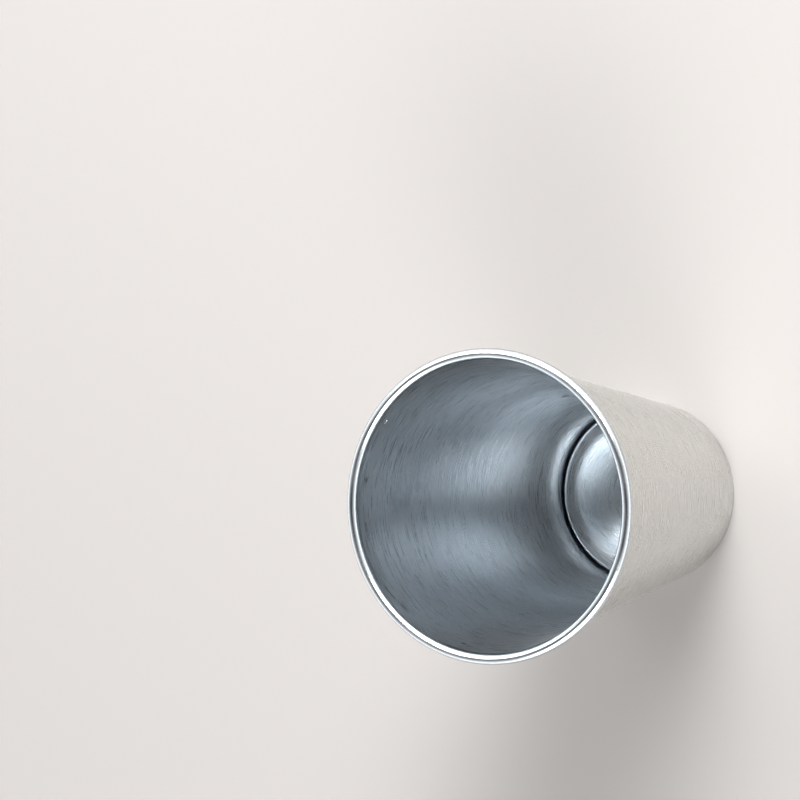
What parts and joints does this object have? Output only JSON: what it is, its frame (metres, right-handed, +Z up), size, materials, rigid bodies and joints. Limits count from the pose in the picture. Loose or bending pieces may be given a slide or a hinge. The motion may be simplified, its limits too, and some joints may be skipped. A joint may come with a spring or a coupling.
{
  "type": "deep drawn metal cup",
  "caption": "Tapered drinking cup drawn from one steel sheet, open at the top, with an outward curled rim and a stepped, domed base.",
  "frame": {"origin": "centre of the foot's resting plane, on the cup's axis", "axes": "+Z up along the cup's axis, from the foot to the mouth; the cup is turned about Z, so X and Y are any two directions across it"},
  "size_m": [0.088, 0.088, 0.123],
  "materials": {
    "stainless_steel": "satin drawn stainless steel, polished brighter on the curled rim and the foot's fold",
    "water": "clear water drops left on the steel"
  },
  "bodies": {
    "root": {"cup": "stainless_steel"}
  },
  "joints": []
}
